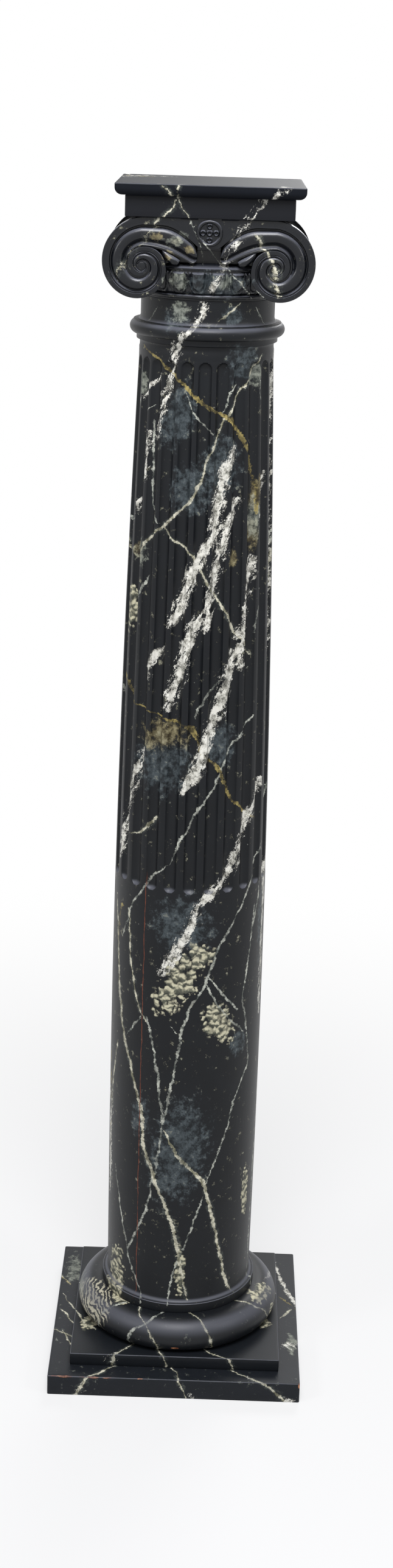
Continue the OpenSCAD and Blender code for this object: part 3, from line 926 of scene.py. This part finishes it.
def fit_route(curves, half_width, points, round_r):
    """Sets a curves node so that X is where the vein lies across at each place along, and Y is its half
    width there plus REACH. Z stays level."""
    points = sorted(points, key=lambda p: p[1])
    low, high = points[0][1], points[-1][1]
    spots = [(low - END, points[0][0])] + [(p[1], p[0]) for p in points] + [(high + END, points[-1][0])]
    middle = [(along, math.radians(degrees) * round_r * MM) for along, degrees in spots]
    width = [(blend(low, high, i / 10), width_at(points, i / 10, half_width, round_r)) for i in range(11)]
    width = [(along, w + REACH) for along, w in [(low - END, NOWHERE)] + width + [(high + END, NOWHERE)]]
    level = [(low - END, 0.0), (high + END, 0.0)]
    curves.mapping.use_clip = False
    curves.mapping.extend = "HORIZONTAL"
    for curve, pairs in zip(curves.mapping.curves, (middle, width, level)):
        for i, (along, value) in enumerate(pairs):
            spot = curve.points[i] if i < 2 else curve.points.new(along * MM, value)
            spot.location = (along * MM, value)
            spot.handle_type = "VECTOR"
    curves.mapping.update()


def width_at(points, share, half_width, round_r):
    """Half width across in metres at a share of the route's height: more where it slants, less near its
    ends"""
    low_end, high_end = points[0][1], points[-1][1]
    along = blend(low_end, high_end, share)
    slant = 0.0
    for (a, low), (b, high) in zip(points, points[1:]):
        if low <= along <= high:
            slant = math.radians(abs(b - a)) * round_r / max(1.0, high - low)
            break
    taper = clamp(min(along - low_end, high_end - along) / TAPER, 0.35, 1.0)
    return half_width * MM * taper * math.hypot(1, min(slant, 3.0))


class Marbling:
    """The layers of paint on one piece: black, smoke sponged over it, veins drawn with a small brush, and
    white dragged on nearly dry. The whole was then varnished, with a grey painted highlight on the rounds
    that face half upwards."""

    def __init__(self, name, round_r, inset, black):
        self.round_r = round_r
        self.material = bpy.data.materials.new(name)
        self.tree = bare_tree(self.material)
        self.point = self.add("TexCoord").outputs["Object"]
        x, y, z = self.add("SeparateXYZ", {0: self.point}).outputs
        front = self.add("Math", {0: y, 1: -1.0}, operation="MULTIPLY")
        angle = self.add("Math", {0: x, 1: front}, operation="ARCTAN2")
        self.across = self.add("Math", {0: angle, 1: round_r * MM}, operation="MULTIPLY")
        self.along = z
        if inset == "square":
            reach = self.add("Math", {0: self.add("Math", {0: x}, operation="ABSOLUTE"),
                                      1: self.add("Math", {0: y}, operation="ABSOLUTE")}, operation="MAXIMUM")
        if inset == "round":
            plan = self.add("CombineXYZ", {0: x, 1: y})
            reach = self.add("VectorMath", {0: plan}, operation="LENGTH").outputs["Value"]
        if inset:
            over_top = self.add("Math", {0: round_r * MM, 1: reach}, operation="SUBTRACT")
            self.along = self.add("Math", {0: z, 1: over_top}, operation="ADD")
        flat = self.add("CombineXYZ", {0: self.across, 1: self.along})
        # The hand wandered by a few mm over every 25 mm, and shook finely
        wander = self.add("TexNoise", {
            "Vector": self.point, "Scale": per_metre(WANDER), "Detail": 6.0, "Roughness": 0.76})
        self.hand = self.pushed(flat, wander, (0.014, 0.011, 0.0))
        self.grit = self.add("TexNoise", {"Vector": self.point, "Scale": per_metre(GRIT), "Detail": 2.0})
        self.dabs = self.add("TexNoise", {"Vector": self.point, "Scale": per_metre(DAB), "Detail": 6.0,
                                          "Roughness": 0.72})
        self.clouds = self.add("TexNoise", {"Vector": self.point, "Scale": per_metre(CLOUD), "Detail": 4.0,
                                            "Roughness": 0.6})
        self.colour = self.add("MixRGB", {"Fac": self.clouds, "Color1": linear(black),
                                          "Color2": linear("#14171b")})
        # Specks of the vein colour that flew off the brush, one to every 30 mm or so
        spots = self.add("TexVoronoi", {"Vector": self.point, "Scale": per_metre(SPECK)}).outputs
        chosen = self.add("MapRange", {0: spots["Color"], 1: 0.88, 2: 0.92}, **SOFT)
        near = self.add("MapRange", {0: spots["Distance"], 1: 0.08, 2: 0.04, 4: 0.5}, **SOFT)
        speck = self.add("Math", {0: near, 1: chosen}, operation="MULTIPLY")
        self.colour = self.add("MixRGB", {"Fac": speck, "Color1": self.colour, "Color2": linear("#9a9c96")})
        self.painted = None

    def add(self, kind, inputs=(), **settings):
        return node(self.tree, kind, inputs, **settings)

    def lay(self, amount, colour):
        """Lays a colour over what is there, and keeps how much of the black is painted over"""
        self.colour = self.add("MixRGB", {"Fac": amount, "Color1": self.colour, "Color2": colour})
        if self.painted:
            amount = self.add("Math", {0: self.painted, 1: amount}, operation="MAXIMUM")
        self.painted = amount

    def stroke(self, cover, thickness, shade, dark, light):
        """Lays a paint that runs from dark to light with shade, as far as it covers and is thick"""
        amount = self.add("Math", {0: cover, 1: thickness}, operation="MULTIPLY")
        self.lay(amount, self.add("MixRGB", {"Fac": shade, "Color1": linear(dark), "Color2": linear(light)}))

    def apart(self, value, place):
        """How far a value in metres is from a place, either way"""
        return self.add("Math", {0: self.add("Math", {0: value, 1: place}, operation="SUBTRACT")},
                        operation="ABSOLUTE")

    def pushed(self, start, noise, reach):
        """The start, pushed by up to half the reach in metres each way by a noise's colour"""
        off = self.add("VectorMath", {0: noise.outputs["Color"], 1: (0.5, 0.5, 0.5)}, operation="SUBTRACT")
        return self.add("VectorMath", {0: off, 1: reach, 2: start}, operation="MULTIPLY_ADD")

    def nearest(self, kind, routes):
        """Distance in metres from the edge of the nearest vein of a kind, less than 0 inside it"""
        hand = self.add("SeparateXYZ", {0: self.hand}).outputs
        same = self.add("CombineXYZ", {0: hand["Y"], 1: hand["Y"], 2: hand["Y"]})
        spot = self.add("CombineXYZ", {0: hand["X"]})
        nearest = None
        for route in routes:
            if route[0] != kind:
                continue
            curves = self.add("VectorCurve", {"Vector": same})
            fit_route(curves, route[1], route[2:], self.round_r)
            off = self.add("VectorMath", {0: spot, 1: curves}, operation="SUBTRACT")
            off = self.add("VectorMath", {0: off}, operation="ABSOLUTE")
            away = self.add("VectorMath", {0: off, 1: (1, -1, 0)}, operation="DOT_PRODUCT").outputs["Value"]
            if nearest:
                away = self.add("Math", {0: nearest, 1: away}, operation="MINIMUM")
            nearest = away
        return nearest and self.add("Math", {0: nearest, 1: REACH})

    def depth_in(self, kind, patches):
        """How deep inside the patches of a kind, from 0 at their edges to 1 at their middles"""
        deepest = None
        for name, (degrees, along), (wide, tall), lean in patches:
            if name != kind:
                continue
            middle = (math.radians(degrees) * self.round_r * MM, along * MM, 0)
            laid = self.add("Mapping", {
                "Vector": self.hand, "Location": middle, "Rotation": (0, 0, math.radians(lean)),
                "Scale": (wide * MM, tall * MM, 1)}, vector_type="TEXTURE")
            deep = self.add("TexGradient", {"Vector": laid}, gradient_type="SPHERICAL").outputs["Fac"]
            if deepest:
                deep = self.add("Math", {0: deepest, 1: deep}, operation="MAXIMUM")
            deepest = deep
        return deepest

    def bent(self, metres):
        """The point, pushed about so that cells and edges lose their regular shapes"""
        push = self.add("TexNoise", {"Vector": self.point, "Scale": per_metre(PUSH), "Detail": 3.0})
        return self.pushed(self.point, push, (metres, metres, metres))

    def sponge(self, kind, patches, colours, strength, ragged):
        """A patch dabbed on with a sponge: dark and light dabs that thin out towards its edge"""
        deep = self.depth_in(kind, patches)
        if not deep:
            return
        dab = self.add("Math", {0: self.dabs, 1: ragged, 2: deep}, operation="MULTIPLY_ADD")
        low, high = 0.5 * ragged + 0.22, 0.5 * ragged + 0.62
        cover = self.add("MapRange", {0: dab, 1: low, 2: high, 4: strength}, **SOFT)
        shade = self.add("MapRange", {0: self.dabs, 1: 0.38, 2: 0.66}, **SOFT)
        self.lay(cover, self.add("MixRGB", {"Fac": shade, "Color1": linear(colours[0]),
                                            "Color2": linear(colours[1])}))

    def curdle(self, patches):
        """Cream paint that curdled into small round clumps, each painted lighter above than below as painted
        shading of light from above
        """
        deep = self.depth_in("cream", patches)
        if not deep:
            return
        clumps = []
        for above in (0.0, 0.0022):
            lifted = self.add("VectorMath", {0: self.bent(0.014), 1: (0, 0, above)}, operation="ADD")
            clumps.append(self.add("TexVoronoi", {
                "Vector": lifted, "Scale": per_metre(CLUMP), "Smoothness": 0.35},
                                   feature="SMOOTH_F1").outputs["Distance"])
        lit = self.add("Math", {0: clumps[1], 1: clumps[0]}, operation="SUBTRACT")
        shade = self.add("Math", {0: lit, 1: 1.5, 2: self.dabs}, operation="MULTIPLY_ADD")
        shade = self.add("MapRange", {0: shade, 1: 0.25, 2: 0.80}, **SOFT)
        ragged = self.add("Math", {0: self.clouds, 1: 1.8, 2: deep}, operation="MULTIPLY_ADD")
        ragged = self.add("Math", {0: self.dabs, 1: 0.9, 2: ragged}, operation="MULTIPLY_ADD")
        ragged = self.add("Math", {0: clumps[0], 1: -0.7, 2: ragged}, operation="MULTIPLY_ADD")
        cover = self.add("MapRange", {0: ragged, 1: 1.17, 2: 1.38}, **SOFT)
        inside = self.add("MapRange", {0: deep, 1: 0.02, 2: 0.20}, **SOFT)
        cover = self.add("Math", {0: cover, 1: inside}, operation="MULTIPLY")
        body = self.add("MapRange", {0: clumps[0], 1: 0.75, 2: 0.35, 3: 0.4, 4: 1.0}, **SOFT)
        self.stroke(cover, body, shade, "#585a4e", "#c9c4a8")

    def comb(self, patches):
        """Cream combed through wet black in curved stripes, one to every 8 mm or so"""
        deep = self.depth_in("stripe", patches)
        if not deep:
            return
        hand = self.add("SeparateXYZ", {0: self.hand}).outputs
        bend = self.add("Math", {0: self.clouds, 1: 0.035, 2: hand["Y"]}, operation="MULTIPLY_ADD")
        lean = self.add("Math", {0: hand["X"], 1: 0.6, 2: bend}, operation="MULTIPLY_ADD")
        wave = self.add("Math", {0: lean, 1: math.tau * per_metre(STRIPE)}, operation="MULTIPLY")
        wave = self.add("Math", {0: wave}, operation="SINE")
        ragged = self.add("Math", {0: self.dabs, 1: 5.0, 2: wave}, operation="MULTIPLY_ADD")
        ragged = self.add("Math", {0: deep, 1: 1.2, 2: ragged}, operation="MULTIPLY_ADD")
        cover = self.add("MapRange", {0: ragged, 1: 2.95, 2: 3.75}, **SOFT)
        inside = self.add("MapRange", {0: deep, 1: 0.03, 2: 0.25}, **SOFT)
        self.stroke(cover, inside, self.dabs, "#6e6a55", "#e6e0c8")

    def draw(self, kind, routes, colours, faint, haze, ragged=1.0):
        """Veins drawn with the tip of a small brush, thicker at knots and fainter where it ran dry"""
        away = self.nearest(kind, routes)
        if not away:
            return
        knots = self.add("Math", {0: self.dabs, 1: -0.0044 * ragged, 2: away}, operation="MULTIPLY_ADD")
        knots = self.add("Math", {0: self.grit, 1: -0.0022 * ragged, 2: knots}, operation="MULTIPLY_ADD")
        edge = -0.0033 * ragged
        if haze:
            soft = self.add("MapRange", {0: knots, 1: edge + 0.004, 2: edge, 4: haze}, **SOFT)
            patchy = self.add("MapRange", {0: self.dabs, 1: 0.42, 2: 0.60}, **SOFT)
            self.lay(self.add("Math", {0: soft, 1: patchy}, operation="MULTIPLY"), linear("#6f756e"))
        cover = self.add("MapRange", {0: knots, 1: edge + 0.0003, 2: edge - 0.0004}, **SOFT)
        dry = self.add("MapRange", {0: self.clouds, 1: 0.38, 2: 0.56, 3: faint, 4: 1.0}, **SOFT)
        core = self.add("MapRange", {0: self.dabs, 1: 0.40, 2: 0.60}, **SOFT)
        self.stroke(cover, dry, core, *colours)

    def drag(self, routes):
        """White dragged down to the left with a nearly dry brush, so black shows through its streaks"""
        away = self.nearest("white", routes)
        if not away:
            return
        strokes = self.add("Mapping", {"Vector": self.hand, "Rotation": (0, 0, math.radians(-24)),
                                       "Scale": (0.0040, 0.017, 1)}, vector_type="TEXTURE")
        streaks = self.add("TexNoise", {"Vector": strokes, "Scale": 1.0, "Detail": 6.0, "Roughness": 0.72})
        edge = self.add("Math", {0: streaks, 1: -0.042, 2: away}, operation="MULTIPLY_ADD")
        edge = self.add("Math", {0: self.grit, 1: -0.012, 2: edge}, operation="MULTIPLY_ADD")
        cover = self.add("MapRange", {0: edge, 1: -0.0272, 2: -0.0305}, **SOFT)
        body = self.add("MapRange", {0: self.dabs, 1: 0.36, 2: 0.48, 3: 0.35, 4: 1.0}, **SOFT)
        shade = self.add("MapRange", {0: self.dabs, 1: 0.40, 2: 0.58}, **SOFT)
        self.stroke(cover, body, shade, "#a3a196", "#e6e4da")

    def crack(self, degrees, low, high):
        """A hairline crack in the paint, where a joint between two staves shows rust-brown wood"""
        wavering = self.add("Math", {0: self.clouds, 1: 0.004, 2: self.across}, operation="MULTIPLY_ADD")
        place = math.radians(degrees) * self.round_r * MM + 0.002
        off = self.apart(wavering, place)
        middle = self.apart(self.along, (low + high) / 2 * MM)
        half = (high - low) / 2 * MM
        inside = self.add("MapRange", {0: middle, 1: half, 2: half - 0.03}, **SOFT)
        line = self.add("MapRange", {0: off, 1: 0.0007, 2: 0.0003, 4: inside}, **SOFT)
        broken = self.add("MapRange", {0: self.dabs, 1: 0.36, 2: 0.54, 3: 0.20, 4: 0.90}, **SOFT)
        self.stroke(line, broken, self.dabs, "#351a12", "#935038")

    def chip(self, chips):
        """Bare pine where the paint and a little wood came away"""
        wood = self.add("MapRange", {0: self.dabs, 1: 0.4, 2: 0.6}, **SOFT)
        for centre, (long, tall), depth in chips:
            off = self.add("VectorMath", {0: self.bent(0.0024), 1: tuple(c * MM for c in centre)},
                           operation="SUBTRACT")
            shares = self.add("VectorMath", {0: off, 1: (1000 / long, 1000 / tall, 1000 / tall)},
                              operation="MULTIPLY")
            away = self.add("VectorMath", {0: shares}, operation="LENGTH").outputs["Value"]
            self.lay(self.add("MapRange", {0: away, 1: 1.0, 2: 0.8}, **SOFT),
                     self.add("MixRGB", {"Fac": wood, "Color1": linear("#74412a"),
                                         "Color2": linear("#c98f68")}))

    def worn_edge_highlight(self, arris):
        """The long edge of a board, with a broken pale line that is part wear and part painted highlight of
        its rounded arris
        """
        off = self.apart(self.along, arris * MM)
        line = self.add("MapRange", {0: off, 1: 0.0012, 2: 0.0004, 4: 0.6}, **SOFT)
        broken = self.add("MapRange", {0: self.clouds, 1: 0.40, 2: 0.60, 3: 0.25, 4: 1.0}, **SOFT)
        self.lay(self.add("Math", {0: line, 1: broken}, operation="MULTIPLY"), linear("#5b5d60"))

    def finish(self, blur, sheen, painted_highlight):
        """Varnish: even satin over the black, a little flatter over the veins, with faint brush marks. A grey
        painted highlight lies on the rounds where they face half upwards."""
        # Painted highlight: a lavender grey laid by how far the surface faces upwards, strongest half upwards
        # and none on flat tops
        facing = self.add("SeparateXYZ", {0: self.add("NewGeometry").outputs["Normal"]}).outputs["Z"]
        highlight_share = self.add("MapRange", {0: facing, 1: 0.20, 2: 0.72, 4: painted_highlight}, **SOFT)
        level = self.add("MapRange", {0: facing, 1: 0.98, 2: 0.80}, **SOFT)
        self.colour = self.add("MixRGB", {
            "Fac": self.add("Math", {0: highlight_share, 1: level}, operation="MULTIPLY"),
            "Color1": self.colour, "Color2": linear("#5a5c64")})
        rough = self.add("MapRange", {0: self.painted, 3: blur, 4: blur + 0.1}, **SOFT)
        grain = self.add("Mapping", {"Vector": self.point, "Scale": (1.0, 1.0, 0.12)})
        marks = self.add("TexNoise", {
            "Vector": grain, "Scale": per_metre(BRUSH_MARK), "Detail": 3.0, "Roughness": 0.6})
        bump = self.add("Bump", {"Height": marks, "Strength": 0.3, "Distance": 0.0002})
        shader = self.add("BsdfPrincipled", {"Base Color": self.colour, "Roughness": rough, "IOR": 1.5,
                                             "Specular IOR Level": sheen, "Normal": bump})
        self.add("OutputMaterial", {"Surface": shader})
        return self.material


def marbled(name, round_r, routes, patches=(), chips=(), inset=None, black="#0b0d10", cracks=(), edges=(),
            blur=0.42, sheen=0.18, painted_highlight=0.8):
    """Pine painted black in oils, then sponged and veined by hand to pass for marble, and varnished. To
    the eye it is a soft satin black with pale ragged lines, and bare wood only where it is chipped.
    Sheen is how strong its reflections are, and blur how soft. A grey painted highlight lies on the rounds
    that face half upwards, and each listed edge gets a pale line of wear and painted highlight."""
    paint = Marbling(name, round_r, inset, black)
    paint.sponge("smoke", patches, ("#1b2225", "#626c70"), 0.58, 1.7)
    paint.sponge("ochre", patches, ("#4a4028", "#ada27a"), 0.6, 2.2)
    paint.sponge("dab", patches, ("#343a37", "#a6aa9c"), 0.65, 2.2)
    paint.curdle(patches)
    paint.comb(patches)
    paint.draw("thin", routes, ("#5b605a", "#bfc1b5"), 0.4, 0.0)
    paint.draw("cream", routes, ("#77755f", "#d9d5c0"), 0.6, 0.3)
    paint.draw("gold", routes, ("#38321f", "#a3945c"), 0.4, 0.0, 2.4)
    paint.drag(routes)
    for crack in cracks:
        paint.crack(*crack)
    # Pale lines along the long edges, part wear and part painted highlight
    for arris in edges:
        paint.worn_edge_highlight(arris)
    paint.chip(chips)
    return paint.finish(blur, sheen, painted_highlight)


# ---- the pieces ----

# Each piece gets a grey painted highlight on its rounds that face half upwards, and the plinth boards and the
# abacus top a pale edge line that is part wear, part painted highlight
slab_paint = marbled("marbled_pine_slab", SLAB_HALF,
                     SLAB_ROUTES + plainer_routes(3, 7, 0, 60, (0.2, 0.5), 0.6),
                     SLAB_PATCHES, SLAB_CHIPS, "square", "#1f2227", edges=[SLAB_TOP])
step_paint = marbled("marbled_pine_step", STEP_HALF,
                     STEP_ROUTES + plainer_routes(5, 6, 20, 74, (0.2, 0.5), 0.6),
                     STEP_PATCHES, (), "square", "#1b1e22", edges=[STEP_TOP])
torus_paint = marbled("marbled_pine_torus", TORUS_R,
                      TORUS_ROUTES + plainer_routes(7, 6, 30, 126, (0.2, 0.4), 0.7),
                      TORUS_PATCHES, TORUS_CHIPS, "round", "#0f1114", sheen=0.3, painted_highlight=0.6)
shaft_paint = marbled("marbled_pine_shaft", SHANK_R, SHAFT_ROUTES + plainer_routes(11, 22, 90, 1260),
                      SHAFT_PATCHES + plainer_patches(12, 10, 180, 1180), cracks=[SHAFT_CRACK], sheen=0.24)
capital_paint = marbled("marbled_pine_capital", FACE_Y,
                        CAPITAL_ROUTES + plainer_routes(13, 6, 1265, 1365, (0.15, 0.3), 0.7),
                        CAPITAL_PATCHES, black="#08090f", blur=0.27, sheen=0.36, painted_highlight=0.95)
board_paint = marbled("marbled_pine_board", BOARD_HALF,
                      BOARD_ROUTES + plainer_routes(17, 4, 1350, 1384, (0.3, 0.6), 0.5),
                      inset="square", black="#131318")
top_paint = marbled("marbled_pine_top", TOP_HALF,
                    TOP_ROUTES + plainer_routes(19, 4, 1374, 1440, (0.3, 0.5), 0.5),
                    inset="square", black="#1b1d23", edges=[TOP_TOP], blur=0.5, sheen=0.05)

slab = board(eased_edge(SLAB_HALF, SLAB_Z, SLAB_TOP), SLAB_CHIPS)
piece("plinth_slab_worn", [slab], ["plinth_slab"], slab_paint)
step = board(eased_edge(STEP_HALF, STEP_Z, STEP_TOP))
piece("plinth_step_worn", [step], ["plinth_step"], step_paint)
piece("torus_turned", [turned(torus_profile(), 160)], ["torus_base"], torus_paint)
piece("shaft_fluted", [shaft_part()], ["shaft"], shaft_paint)
piece("capital_carved", capital_parts(), ["capital"], capital_paint)
lower = board(eased_edge(BOARD_HALF, BOARD_Z, BOARD_TOP))
piece("abacus_board_worn", [lower], ["abacus_board"], board_paint)
piece("abacus_top_moulded", [board(abacus_profile())], ["abacus_top"], top_paint)


# ---- floor, lights and camera ----

def shows_white(tree):
    """1 on the rays that show the background: to the camera, in a gloss or through glass"""
    rays = node(tree, "LightPath").outputs
    seen = node(tree, "Math", {0: rays["Is Camera Ray"], 1: rays["Is Glossy Ray"]}, operation="MAXIMUM")
    return node(tree, "Math", {0: seen, 1: rays["Is Transmission Ray"]}, operation="MAXIMUM")


def lay_floor():
    """Matt white card that keeps the column's shadow near it, and is plain white further off"""
    mesh = bpy.data.meshes.new("floor")
    mesh.from_pydata([(-8, -8, 0), (8, -8, 0), (8, 8, 0), (-8, 8, 0)], [], [(0, 1, 2, 3)])
    floor = bpy.data.objects.new("floor", mesh)
    bpy.context.scene.collection.objects.link(floor)
    card = bpy.data.materials.new("matt_white_card")
    tree = bare_tree(card)
    matt = node(tree, "BsdfDiffuse", {"Color": linear("#e9e9e9")})
    white = node(tree, "Emission", {"Color": (1, 1, 1, 1), "Strength": 1.0})
    point = node(tree, "TexCoord").outputs["Object"]
    away = node(tree, "VectorMath", {0: point}, operation="LENGTH").outputs["Value"]
    share = node(tree, "MapRange", {0: away, 1: 0.3, 2: 1.6, 3: 0.6, 4: 1.0}, **SOFT)
    share = node(tree, "Math", {0: share, 1: shows_white(tree)}, operation="MULTIPLY")
    node(tree, "OutputMaterial", {"Surface": node(tree, "MixShader", {0: share, 1: matt, 2: white})})
    mesh.materials.append(card)


def sky():
    """White where it shows, and a faint cool fill on the column"""
    world = bpy.data.worlds.new("pale_studio")
    tree = bare_tree(world)
    fill = node(tree, "Background", {"Color": linear("#eef1f6"), "Strength": 0.25})
    white = node(tree, "Background", {"Color": (1, 1, 1, 1), "Strength": 1.0})
    both = node(tree, "MixShader", {0: shows_white(tree), 1: fill, 2: white})
    node(tree, "OutputWorld", {"Surface": both})
    bpy.context.scene.world = world


def lamp(name, place, aim_z, size, watts, tint="#f8f8fb"):
    """A round soft lamp, aimed at a height on the column's axis, in metres and watts"""
    data = bpy.data.lights.new(name, "AREA")
    data.shape, data.size = "DISK", size
    data.energy, data.color = watts, linear(tint)[:3]
    hung = bpy.data.objects.new(name, data)
    hung.location = place
    hung.rotation_euler = (Vector((0, 0, aim_z)) - Vector(place)).to_track_quat("-Z", "Y").to_euler()
    bpy.context.scene.collection.objects.link(hung)


def camera():
    """A 50 mm lens a little above the column's top, looking down at it, with its angles in radians"""
    place = Vector((0.0168, -2.3935, 1.5054))
    pan, pitch, roll = -0.005345, 0.317121, 0.031749
    forward = Vector((math.sin(pan) * math.cos(pitch), math.cos(pan) * math.cos(pitch), -math.sin(pitch)))
    level = Vector((math.cos(pan), -math.sin(pan), 0))
    above = level.cross(forward)
    right = level * math.cos(roll) + above * math.sin(roll)
    up = above * math.cos(roll) - level * math.sin(roll)
    data = bpy.data.cameras.new("camera")
    data.sensor_fit, data.sensor_height, data.lens = "VERTICAL", 36, 50.26
    viewer = bpy.data.objects.new("camera", data)
    viewer.matrix_world = Matrix((right, up, -forward)).transposed().to_4x4()
    viewer.location = place
    bpy.context.scene.collection.objects.link(viewer)
    bpy.context.scene.camera = viewer


bpy.context.scene.view_settings.view_transform = "Standard"
lay_floor()
sky()
lamp("overhead", (0.0, -1.5, 3.1), 0.9, 1.3, 84)
lamp("left_front", (-2.2, -1.6, 2.2), 0.7, 0.8, 16)
lamp("right_front", (2.4, -1.2, 2.2), 0.8, 0.8, 12)
lamp("behind", (0.6, 2.4, 2.4), 0.8, 1.2, 26, "#ffffff")
camera()
